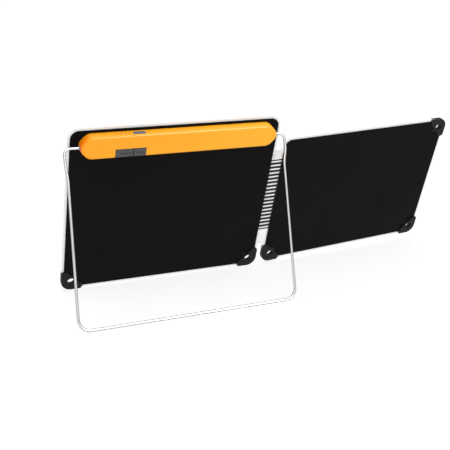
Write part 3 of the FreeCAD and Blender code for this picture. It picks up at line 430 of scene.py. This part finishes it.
def solar_cell(name, axes):
    """Mono silicon: each wafer its own shade, fine printed fingers across it."""
    wafer_pitch, finger_pitch = 54.5, 1.7
    first_u, first_v = 16.0, 8.0    # corner of the first wafer
    mat = Shader(name, axes)
    index_u, index_v = (
        mat.math("FLOOR", mat.math("DIVIDE", mat.sub(field, first), wafer_pitch))
        for field, first in ((mat.u, first_u), (mat.v, first_v)))
    wafer = mat.node("TexWhiteNoise", {"Vector": mat.vec(index_u, index_v, 3.0)},
                     noise_dimensions="3D").outputs["Value"]
    color = mat.mix(wafer, (0.010, 0.016, 0.046), (0.016, 0.028, 0.075))
    color = mat.tint(color, (0.020, 0.030, 0.095), mat.noise(size=16.0, detail=4.0, rough=0.6),
                     lo=0.35, hi=0.7, amount=0.4)
    place = mat.math("FRACT", mat.math("DIVIDE", mat.u, finger_pitch))
    finger = mat.math("LESS_THAN", mat.math("ABSOLUTE", mat.sub(place, 0.5)), 0.055)
    color = mat.mix(mat.mul(finger, 0.85), color, (0.36, 0.37, 0.40))
    grain = mat.noise(size=0.15, detail=2.0, rough=0.6)
    haze = mat.noise(size=2.5, detail=3.0, rough=0.5)
    mat.surface(color, rough=mat.lift(0.24, haze, by=0.12), metal=mat.mul(finger, 0.8),
                bump=mat.bump(mat.lift(grain, finger, by=2.0), depth=0.008, strength=0.5),
                specular=0.55)


def clear_film(name, axes):
    """Clear textured film: mostly lets light through, dimpled face, pale haze."""
    mat = Shader(name, axes)
    dimples = mat.flat_cells(size=1.1, vector=mat.vec(mat.u, mat.v), randomness=0.35,
                             feature="SMOOTH_F1")
    dust = mat.noise(size=14.0, detail=4.0, rough=0.65)
    bump = mat.bump(dimples, depth=0.10, strength=0.55)
    dust_rough = mat.span(dust, lo=0.3, hi=0.75, start=0.16, end=0.34)
    gloss = mat.node("BsdfGlossy", {"Color": (1, 1, 1), "Roughness": dust_rough,
                                    "Normal": bump})
    clear = mat.node("BsdfTransparent", {"Color": (0.93, 0.95, 0.96)})
    fresnel = mat.node("Fresnel", {"IOR": 1.42, "Normal": bump})
    haze = mat.node("BsdfDiffuse", {"Color": (0.75, 0.78, 0.82)})
    haze_amount = mat.mul(mat.span(dust, lo=0.45, hi=0.8), 0.05)
    body = mat.mix_shader(haze_amount, clear, haze)
    film = mat.mix_shader(fresnel.outputs[0], body, gloss)
    mat.put(mat.out.inputs["Surface"], film.outputs[0])


def tinned_copper():
    """Cell ribbons drawn along u, with warmer patches."""
    mat = Shader("tinned_copper")
    lines = mat.streaks((12.0, 0.15, 0.5))
    patches = mat.noise(size=3.0, detail=3.0, rough=0.6)
    color = mat.mix(mat.span(patches, lo=0.4, hi=0.75), (0.66, 0.67, 0.69), (0.60, 0.55, 0.48))
    mat.surface(color, rough=mat.lift(0.26, lines, by=0.2), metal=1.0,
                bump=mat.bump(lines, depth=0.01, strength=0.5))


def flat_cable(name, base):
    """Flat laminated cable: pale film with the conductors faintly raised."""
    conductor_pitch = 1.6
    mat = Shader(name)
    wave = mat.math("SINE", mat.mul(mat.v, 2 * math.pi / conductor_pitch))
    grain = mat.noise(size=0.5, detail=3.0, rough=0.6)
    color = mat.mix(mat.span(wave, lo=-0.4, hi=0.6), shade(base, 0.95), base)
    color = mat.tint(color, shade(base, 0.88), grain, lo=0.5, hi=0.8, amount=0.2)
    mat.surface(color, rough=mat.lift(0.40, grain, by=0.15), specular=0.4,
                bump=mat.bump(mat.add(wave, grain), depth=0.03, strength=0.3))


def adhesive_foam():
    """Open dark foam."""
    mat = Shader("adhesive_foam")
    pores = mat.cells(size=0.8)
    broad = mat.noise(size=5.0, detail=3.0, rough=0.5)
    # Painted shade: the pore hollows are painted darker.
    color = mat.mix(mat.span(pores, lo=0.0, hi=0.6), (0.018,) * 3, (0.055,) * 3)
    color = mat.mix(mat.mul(broad, 0.3), color, (0.07, 0.07, 0.072))
    mat.surface(color, rough=0.85, bump=mat.bump(pores, depth=0.15, strength=0.7),
                specular=0.2)


def seal_rubber():
    """Matt black seal."""
    mat = Shader("seal_rubber")
    grain = mat.noise(size=0.5, detail=3.0, rough=0.6)
    broad = mat.noise(size=6.0, detail=3.0, rough=0.5)
    color = mat.mix(broad, (0.018, 0.018, 0.02), (0.035, 0.035, 0.038))
    mat.surface(color, rough=mat.lift(0.6, grain, by=0.2), specular=0.25,
                bump=mat.bump(grain, depth=0.03, strength=0.5))


def chip_black():
    """Component bodies with pale edges painted on as a highlight."""
    mat = Shader("chip_black")
    grain = mat.noise(size=0.25, detail=3.0, rough=0.6)
    broad = mat.noise(size=2.0, detail=3.0, rough=0.5)
    soft, edges = mat.edge(radius=0.12)
    color = mat.mix(broad, (0.014, 0.014, 0.016), (0.026, 0.026, 0.029))
    # Painted highlight: edges are painted pale.
    color = mat.mix(mat.mul(edges, 0.6), color, (0.35, 0.35, 0.36))
    mat.surface(color, rough=mat.lift(0.45, grain, by=0.2), specular=0.4,
                bump=mat.bump(grain, depth=0.015, strength=0.6, normal=soft))


def inductor_ferrite():
    """Pitted dark ferrite."""
    mat = Shader("inductor_ferrite")
    grain = mat.noise(size=0.5, detail=4.0, rough=0.65)
    pits = mat.cells(size=0.7)
    color = mat.mix(grain, (0.05, 0.05, 0.053), (0.12, 0.118, 0.115))
    mat.surface(color, rough=0.62, metal=0.3, specular=0.4,
                bump=mat.bump(pits, depth=0.04, strength=0.6))


def led_white():
    """White bodies with yellow spots."""
    mat = Shader("led_white")
    grain = mat.noise(size=0.6, detail=2.0, rough=0.5)
    color = mat.mix(mat.span(mat.cells(size=1.2), lo=0.1, hi=0.45),
                    (0.85, 0.66, 0.12), (0.90, 0.90, 0.86))
    mat.surface(color, rough=mat.lift(0.2, grain, by=0.15),
                bump=mat.bump(grain, depth=0.02, strength=0.4))


def light_pipe():
    """Frosted light pipe; its red-orange is painted light standing for the orange shell round it.
    """
    mat = Shader("light_pipe")
    grain = mat.noise(size=0.3, detail=3.0, rough=0.6)
    color = mat.mix(grain, (0.50, 0.085, 0.012), (0.66, 0.15, 0.030))
    mat.surface(color, rough=mat.lift(0.30, grain, by=0.2),
                bump=mat.bump(grain, depth=0.02, strength=0.5),
                extra={"Transmission Weight": 0.25})


def light_strip():
    """Pale flexible strip with creases along v."""
    mat = Shader("light_strip")
    grain = mat.noise(size=0.45, detail=3.0, rough=0.6)
    broad = mat.noise(size=12.0, detail=3.0, rough=0.5)
    crease = mat.streaks((0.5, 25.0, 1.0))
    color = mat.mix(mat.span(broad, lo=0.3, hi=0.7), (0.90, 0.905, 0.91), (0.94, 0.945, 0.95))
    color = mat.tint(color, (0.74, 0.745, 0.75), crease, lo=0.5, hi=0.8, amount=0.18)
    mat.surface(color, rough=mat.lift(0.48, grain, by=0.12), specular=0.3,
                bump=mat.bump(mat.lift(grain, crease, by=0.7), depth=0.03, strength=0.5))


def black_ribs():
    """Black bars with slightly paler edges painted on as a highlight."""
    mat = Shader("black_ribs")
    grain = mat.noise(size=0.35, detail=3.0, rough=0.6)
    broad = mat.noise(size=10.0, detail=3.0, rough=0.5)
    soft, edges = mat.edge(radius=0.15)
    color = mat.mix(mat.span(broad, lo=0.3, hi=0.7),
                    (0.010, 0.010, 0.0105), (0.016, 0.016, 0.017))
    # Painted highlight: edges are painted paler.
    color = mat.mix(mat.mul(edges, 0.5), color, (0.05, 0.05, 0.052))
    mat.surface(color, rough=mat.lift(0.50, grain, by=0.2), specular=0.2,
                bump=mat.bump(grain, depth=0.03, strength=0.5, normal=soft))


LIGHT_PLASTIC = ((0.86, 0.865, 0.87), 0.46, 0.40, 0.02, 0.025, 0.35, (0.93,) * 3, 0.35, 0.35)
# name: colour, roughness, grain size, grain depth, colour drift, wear and painted highlight
# amount, worn and highlight colour, edge radius, specular
MOULDED = {
    "orange_base": (shade(ORANGE, 0.92), 0.5, 0.35, 0.02, 0.05, 0.2, (1.0, 0.6, 0.2), 0.25, 0.35),
    "light_plastic_main": LIGHT_PLASTIC,
    "light_plastic_second": LIGHT_PLASTIC,
    # black moulding: its pale rubbed edges are a painted edge highlight as well as wear
    "black_moulding": ((0.0060, 0.0060, 0.0064), 0.50, 0.55, 0.060, 0.10,
                       0.75, (0.075, 0.075, 0.078), 0.35, 0.16),
    "cover_rubber": ((0.079, 0.079, 0.081), 0.62, 0.45, 0.03, 0.05,
                     0.25, (0.17, 0.17, 0.175), 0.3, 0.2),
    "cover_mark": ((0.022, 0.022, 0.024), 0.60, 0.4, 0.02, 0.05,
                   0.15, (0.1, 0.1, 0.11), 0.15, 0.25),
    "button_grey": ((0.115, 0.125, 0.165), 0.40, 0.3, 0.015, 0.05,
                    0.3, (0.24, 0.25, 0.30), 0.3, 0.35),
    "bush_grey": ((0.20, 0.20, 0.21), 0.42, 0.3, 0.012, 0.05,
                  0.3, (0.4, 0.4, 0.41), 0.15, 0.4),
}

orange_shell()
for look, values in MOULDED.items():
    moulded(look, *values)
# the stand wire gets a painted dark shade at its grazing edges
drawn_metal("stand_wire", (0.80, 0.80, 0.81), rough=0.18, along=(0.3, 30.0, 0.3),
            painted_rim_shade=(0.09, 0.09, 0.092))
drawn_metal("clip_steel", (0.45, 0.45, 0.46), rough=0.3, along=(0.4, 6.0, 0.4),
            stain=(0.30, 0.27, 0.24))
drawn_metal("screw_steel", (0.60, 0.60, 0.61), rough=0.28, along=(0.3, 0.3, 5.0))
drawn_metal("socket_steel", (0.68, 0.68, 0.70), rough=0.24, along=(0.3, 9.0, 0.3))
for leaf, axes in (("main", MAIN_FRAME), ("second", SECOND_FRAME)):
    weave("black_laminate_" + leaf, axes)
    solar_cell("solar_cell_" + leaf, axes)
    clear_film("clear_film_" + leaf, axes)
flat_cable("flat_lead", (0.70, 0.68, 0.60))
flat_cable("flex_lead", (0.80, 0.80, 0.80))
for build in (lead_wire, battery_foil, circuit_board, tinned_copper, adhesive_foam,
              seal_rubber, chip_black, inductor_ferrite, led_white, light_pipe,
              light_strip, black_ribs):
    build()

# material: the CAD pieces that wear it
DRESS = {
    "light_plastic_main": "main_front_sheet",
    "light_plastic_second": "second_front_sheet",
    "black_laminate_main": "main_back_board",
    "black_laminate_second": "second_back_board",
    "solar_cell_main": "main_cells",
    "solar_cell_second": "second_cells",
    "clear_film_main": "main_clear_film",
    "clear_film_second": "second_clear_film",
    "tinned_copper": "main_cell_ribbons second_cell_ribbons",
    "flat_lead": "main_leaf_lead second_leaf_lead",
    "black_moulding": "main_corner_left main_corner_right second_corner_lower_left "
                      "second_corner_lower_right second_corner_upper_right",
    "adhesive_foam": "module_tape battery_pad",
    "seal_rubber": "cover_seal",
    "orange_shell": "housing_cover",
    "orange_base": "housing_base",
    "screw_steel": "housing_screws",
    "battery_foil": "battery_pouch",
    "lead_wire": "battery_leads",
    "circuit_board": "circuit_board",
    "chip_black": "board_components tact_switch",
    "inductor_ferrite": "power_inductor",
    "socket_steel": "usb_a_port micro_usb_port",
    "led_white": "status_leds",
    "light_pipe": "led_light_pipes",
    "cover_rubber": "output_port_cover input_port_cover",
    "button_grey": "power_button",
    "bush_grey": "pivot_bush_left pivot_bush_right",
    "stand_wire": "kickstand_wire",
    "clip_steel": "kickstand_clips",
}
for look, pieces in DRESS.items():
    for piece in pieces.split():
        dressed = frame["nodes"][piece]
        if not dressed.data.materials:
            dressed.data.materials.append(LOOKS[look])
        for material_slot in dressed.material_slots:
            material_slot.material = LOOKS[look]


# ------------------------------------------------------------------ mesh helpers
def make(name, bm, look, smooth=True):
    bmesh.ops.recalc_face_normals(bm, faces=bm.faces)
    mesh = bpy.data.meshes.new(name)
    bm.to_mesh(mesh)
    bm.free()
    for face in mesh.polygons:
        face.use_smooth = smooth
    made = bpy.data.objects.new(name, mesh)
    bpy.context.scene.collection.objects.link(made)
    mesh.materials.append(LOOKS[look])
    return made


def sharpen(made, degrees=50):
    """Marks the edges that turn more than this as sharp."""
    bm = bmesh.new()
    bm.from_mesh(made.data)
    for edge in bm.edges:
        if len(edge.link_faces) == 2 and edge.calc_face_angle(0.0) > math.radians(degrees):
            edge.smooth = False
    bm.to_mesh(made.data)
    bm.free()


def loft(bm, rings):
    """Closed tube through rings of equal length, ends capped."""
    loops = [[bm.verts.new(point) for point in ring] for ring in rings]
    count = len(rings[0])
    for near, far in zip(loops, loops[1:]):
        for i in range(count):
            j = (i + 1) % count
            bm.faces.new((near[i], near[j], far[j], far[i]))
    bm.faces.new(loops[0][::-1])
    bm.faces.new(loops[-1])


def samples(start, end, step, keys=()):
    """Sorted places from start to end, with the keys that fall between them."""
    places = {round(start, 5), round(end, 5)}
    x = start
    while x < end:
        places.add(round(x, 5))
        x += step
    places.update(round(key, 5) for key in keys if start <= key <= end)
    ordered = sorted(places)
    return [x for i, x in enumerate(ordered) if i == 0 or x - ordered[i - 1] > 1e-3]


def smooth01(t):
    t = max(0.0, min(1.0, t))
    return t * t * (3 - 2 * t)


# --------------------------------------------------------------------- hinge web
# Places across the web are distances from the first fold line. Heights are measured
# along the normal from the plane of the fold lines.
BEND_OUT, BEND_IN = 0.1, 2.6    # reach of each bend beyond its fold line and into the web
A_START, A_END = -BEND_OUT, BEND_IN
B_START, B_END = WEB_W - BEND_IN, WEB_W + BEND_OUT

STRIP_T = 1.0           # strip thickness; the bars and the lead lie on it
STRIP_OVERHANG = 0.25   # how far each part passes the fold lines
LEAD_OVERHANG = 0.2
BAR_OVERHANG = RIM - 0.02
LEAD_V0, LEAD_V1 = 153.55, 166.35
LEAD_TOP = 1.24

PITCH = 5.38            # pill-ended slots between the bars
SLOT_R = 1.24
SLOT_TOP = 150.0        # v of the slot farthest along v
SLOT_COUNT = 19
BORDER = 1.45           # width of the two outermost bars beside their slot
SLOT_VS = [SLOT_TOP - PITCH * i for i in range(SLOT_COUNT)][::-1]


def turn(fold, along, normal, angle, distance, height):
    """Point on a sheet turned about the fold by the angle, toward minus its normal."""
    turned = along * math.cos(angle) - normal * math.sin(angle)
    turned_normal = normal * math.cos(angle) + along * math.sin(angle)
    return fold + (turned * distance + turned_normal * height) * MM


def web_point(place, v, height):
    """The bend at each fold grows smoothly from none to the rest angle."""
    if place <= WEB_W / 2:
        share = smooth01((place - A_START) / (A_END - A_START))
        point = turn(FOLD_A, MAIN_X, MAIN_N, REST * share, place, height)
    else:
        share = smooth01((place - B_START) / (B_END - B_START))
        point = turn(FOLD_B, WEB_X, WEB_N, REST * share, place - WEB_W, height)
    return point + AXIS_V * v * MM


def half_span(half, overhang):
    """Start and end of one half of the web: "a" by the main leaf, "b" by the second."""
    if half == "a":
        return -overhang, WEB_W / 2
    return WEB_W / 2, WEB_W + overhang


def web_strip(half):
    """The flexible strip, with its long ends softly rounded."""
    v0, v1 = STRIP_V0, STRIP_V1
    lip, inset, steps = 0.35, 0.1, 24
    run = v1 - v0 - 2 * lip
    outline = [(v0 + lip, 0.0), (v0 + inset, inset), (v0, lip),
               (v0, STRIP_T - lip), (v0 + inset, STRIP_T - inset), (v0 + lip, STRIP_T)]
    outline += [(v0 + lip + run * i / steps, STRIP_T) for i in range(1, steps)]
    outline += [(v1 - lip, STRIP_T), (v1 - inset, STRIP_T - inset), (v1, STRIP_T - lip),
                (v1, lip), (v1 - inset, inset), (v1 - lip, 0.0)]
    outline += [(v1 - lip - run * i / steps, 0.0) for i in range(1, steps)]
    bm = bmesh.new()
    loft(bm, [[web_point(place, v, height) for v, height in outline]
              for place in samples(*half_span(half, STRIP_OVERHANG), step=0.3)])
    return make("web_strip_" + half, bm, "light_strip")


def bar_half_width(from_end):
    """Half the width of the bar between two slots; it flares round the slot ends."""
    if from_end >= SLOT_R:
        return PITCH / 2 - SLOT_R
    chord = math.sqrt(max(0.0, SLOT_R * SLOT_R - (SLOT_R - from_end) ** 2))
    return PITCH / 2 - chord + 0.012


def web_bars(half):
    """Black bars between the slots, running from board to board over the strip."""
    left, right = -BAR_OVERHANG, WEB_W + BAR_OVERHANG
    flare = (0.03, 0.12, 0.3, 0.55, 0.8, 1.0)   # stations round a slot end, in radii
    keys = [left + SLOT_R * k for k in flare] + [right - SLOT_R * k for k in flare]
    places = samples(*half_span(half, BAR_OVERHANG), step=0.35, keys=keys)
    centres = [SLOT_VS[0] - PITCH / 2]
    centres += [(low + high) / 2 for low, high in zip(SLOT_VS, SLOT_VS[1:])]
    centres += [SLOT_VS[-1] + PITCH / 2]
    base, soft = STRIP_T, 0.22      # soft: size of the eased top edge
    bm = bmesh.new()
    for i, centre in enumerate(centres):
        rings = []
        for place in places:
            from_end = min(place - left, right - place)
            half_width = bar_half_width(from_end)
            lo, hi = centre - half_width, centre + half_width
            if i == 0:
                lo = SLOT_VS[0] - SLOT_R - BORDER
            if i == len(centres) - 1:
                hi = SLOT_VS[-1] + SLOT_R + BORDER
            top = 1.55 + 0.55 * (1 - smooth01(from_end / 1.6))   # thicker at the boards
            middle = (lo + hi) / 2
            outline = [
                (lo, base), (lo, top - soft), (lo + soft * 0.3, top - soft * 0.3),
                (lo + soft, top), (middle, top + 0.04), (hi - soft, top),
                (hi - soft * 0.3, top - soft * 0.3), (hi, top - soft), (hi, base),
                (middle, base)]
            rings.append([web_point(place, v, height) for v, height in outline])
        loft(bm, rings)
    made = make("web_bars_" + half, bm, "black_ribs")
    sharpen(made)
    return made


def web_lead(half):
    """Flat flex lead lying on the strip between the leaves."""
    v0, v1, top, base = LEAD_V0, LEAD_V1, LEAD_TOP, STRIP_T
    steps = 12
    outline = [(v0, base), (v0, top - 0.08), (v0 + 0.12, top)]
    outline += [(v0 + (v1 - v0) * i / steps, top) for i in range(1, steps)]
    outline += [(v1 - 0.12, top), (v1, top - 0.08), (v1, base)]
    outline += [(v1 - (v1 - v0) * i / steps, base) for i in range(1, steps)]
    bm = bmesh.new()
    loft(bm, [[web_point(place, v, height) for v, height in outline]
              for place in samples(*half_span(half, LEAD_OVERHANG), step=0.3)])
    made = make("web_flex_lead_" + half, bm, "flex_lead")
    sharpen(made)
    return made


def bend_limit(fold, along, distance):
    """Where a bend starts or ends, at the joint's v."""
    return tuple(fold + AXIS_V * (FOLD_V * MM) + along * distance * MM)


# half: the two bodies it lies between, start and end of the bend
BLENDS = {
    "a": ("main_leaf", "hinge_web",
          bend_limit(FOLD_A, MAIN_X, A_START), bend_limit(FOLD_A, MAIN_X, A_END)),
    "b": ("hinge_web", "second_leaf",
          bend_limit(FOLD_B, WEB_X, B_START - WEB_W), bend_limit(FOLD_B, WEB_X, B_END - WEB_W)),
}
for half, blend in BLENDS.items():
    parts = [(web_strip(half), "web_strip"), (web_bars(half), "web_ribs"),
             (web_lead(half), "web_flex_lead")]
    for part, replaced in parts:
        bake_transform(part)
        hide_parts(replaced)


# ------------------------------------------------- raised marks and painted gap shade on the port covers
def cover_marks(name, bars, joint):
    """Low raised bars with rounded corners; each bar is u0, u1, v0, v1."""
    bm = bmesh.new()
    for u0, u1, v0, v1 in bars:
        radius = min(v1 - v0, u1 - u0) / 2 * 0.9
        corners = ((u1 - radius, v1 - radius, 0), (u0 + radius, v1 - radius, 90),
                   (u0 + radius, v0 + radius, 180), (u1 - radius, v0 + radius, 270))
        ring = []
        for corner_u, corner_v, start in corners:
            for k in range(4):
                angle = math.radians(start + 30 * k)
                ring.append((corner_u + radius * math.cos(angle),
                             corner_v + radius * math.sin(angle)))
        mid_u, mid_v = (u0 + u1) / 2, (v0 + v1) / 2
        shrink_u, shrink_v = 1 - 0.08 / (u1 - u0) * 2, 1 - 0.08 / (v1 - v0) * 2
        loft(bm, [
            [main_point(u, v, 11.44) for u, v in ring],
            [main_point(u, v, 11.66) for u, v in ring],
            [main_point(mid_u + (u - mid_u) * shrink_u, mid_v + (v - mid_v) * shrink_v, 11.74)
             for u, v in ring]])
    made = make(name, bm, "cover_mark", smooth=False)
    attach(made, joint)


# The last output-cover bar is a dark strip along the cover's edge: painted shade of the gap
# between the two covers.
cover_marks("output_cover_marks", [
    (53.2, 57.2, 185.0, 186.2), (58.2, 62.6, 185.0, 186.2),
    (63.6, 66.0, 185.0, 186.2), (67.5, 68.6, 183.2, 188.6)], "output_cover")
cover_marks("input_cover_marks", [
    (72.4, 75.6, 185.0, 186.2), (76.6, 79.6, 185.0, 186.2)], "input_cover")


# ------------------------------------------------------------------ studio floor
def floor():
    """Large plane just under the product, partly self-lit."""
    bm = bmesh.new()
    bmesh.ops.create_grid(bm, x_segments=8, y_segments=8, size=20.0)
    mesh = bpy.data.meshes.new("studio_floor")
    bm.to_mesh(mesh)
    bm.free()
    made = bpy.data.objects.new("studio_floor", mesh)
    made.location = (0, 0, cad_lo.z - 0.0002)
    bpy.context.scene.collection.objects.link(made)
    mat = Shader("studio_floor")
    broad = mat.noise(size=900.0, detail=2.0, rough=0.5)
    color = mat.mix(broad, (0.90, 0.90, 0.902), (0.92, 0.92, 0.92))
    color = mat.mix(0.74, color, (0.0, 0.0, 0.0))
    mat.surface(color, rough=0.85, specular=0.1,
                extra={"Emission Color": (1.0, 1.0, 1.0), "Emission Strength": 0.77})
    mesh.materials.append(LOOKS["studio_floor"])


floor()

# ------------------------------------------------------------------------ camera
CAM_AZIMUTH = math.radians(-24.374)
CAM_ELEVATION = math.radians(18.154)
CAM_ROLL = math.radians(1.368)
CAM_OFFSET = Vector((-216.51, -941.42, 393.755))    # mm from the main leaf's origin

# cam_back points from the scene to the camera; cam_right is level
cam_back = Vector((math.sin(CAM_AZIMUTH) * math.cos(CAM_ELEVATION),
                   -math.cos(CAM_AZIMUTH) * math.cos(CAM_ELEVATION),
                   math.sin(CAM_ELEVATION)))
cam_right = Vector((math.cos(CAM_AZIMUTH), math.sin(CAM_AZIMUTH), 0))


def camera():
    data = bpy.data.cameras.new("camera")
    data.sensor_width = 36.0
    data.sensor_fit = "HORIZONTAL"
    data.lens = 68.4504
    data.clip_start = 0.01
    data.clip_end = 100.0
    made = bpy.data.objects.new("camera", data)
    bpy.context.scene.collection.objects.link(made)
    cam_up = cam_back.cross(cam_right)
    cosine, sine = math.cos(CAM_ROLL), math.sin(CAM_ROLL)
    rolled_right = cosine * cam_right + sine * cam_up
    rolled_up = -sine * cam_right + cosine * cam_up
    pose = Matrix((rolled_right, rolled_up, cam_back)).transposed().to_4x4()
    pose.translation = MAIN_ORIGIN + CAM_OFFSET * MM
    made.matrix_world = pose
    bpy.context.scene.camera = made


camera()


# --------------------------------------------------------------- world and lights
def studio_world():
    """Plain white to the camera; for lighting, brighter above with dim low sides."""
    world = bpy.data.worlds.new("studio")
    bpy.context.scene.world = world
    env = Nodes(world)
    white = (1.0, 1.0, 1.0)
    output = env.node("OutputWorld")
    direction = env.node("TexCoord").outputs["Generated"]
    height = env.node("SeparateXYZ", {0: direction}).outputs["Z"]
    side = env.math("ABSOLUTE", env.dot(direction, tuple(cam_right)))
    level = env.span(height, lo=-0.1, hi=0.9, start=0.82, end=1.12, curve="SMOOTHSTEP")
    dim = env.span(side, lo=0.50, hi=0.92, start=1.0, end=0.50, curve="SMOOTHSTEP")
    low = env.span(height, lo=0.25, hi=0.75, start=1.0, end=0.0, curve="SMOOTHSTEP")
    low_dim = env.add(env.mul(env.sub(dim, 1.0), low), 1.0)
    lighting = env.node("Background", {"Color": white, "Strength": env.mul(level, low_dim)})
    backdrop = env.node("Background", {"Color": white, "Strength": 1.0})
    camera_ray = env.node("LightPath").outputs["Is Camera Ray"]
    mixed = env.mix_shader(camera_ray, lighting, backdrop)
    env.put(output.inputs["Surface"], mixed.outputs[0])


def sun(name, toward, strength, angle):
    """A sun seen in the direction toward; angle is its width in degrees."""
    data = bpy.data.lights.new(name, "SUN")
    data.energy = strength
    data.angle = math.radians(angle)
    made = bpy.data.objects.new(name, data)
    made.rotation_mode = "QUATERNION"
    made.rotation_quaternion = (-toward).to_track_quat("-Z", "Y")
    bpy.context.scene.collection.objects.link(made)
    return made


studio_world()
key_toward = (cam_right * 0.45 + cam_back * 0.45 + Vector((0, 0, 0.9))).normalized()
sun("key", key_toward, strength=0.92, angle=50)
# a narrow sun that only makes highlights
glint = sun("edge", Vector((0.392, -0.741, 0.548)).normalized(), strength=2.4, angle=6)
glint.visible_diffuse = False

view = bpy.context.scene.view_settings
view.view_transform = "Standard"
view.look = "None"
view.exposure = 0.0
view.gamma = 1.0
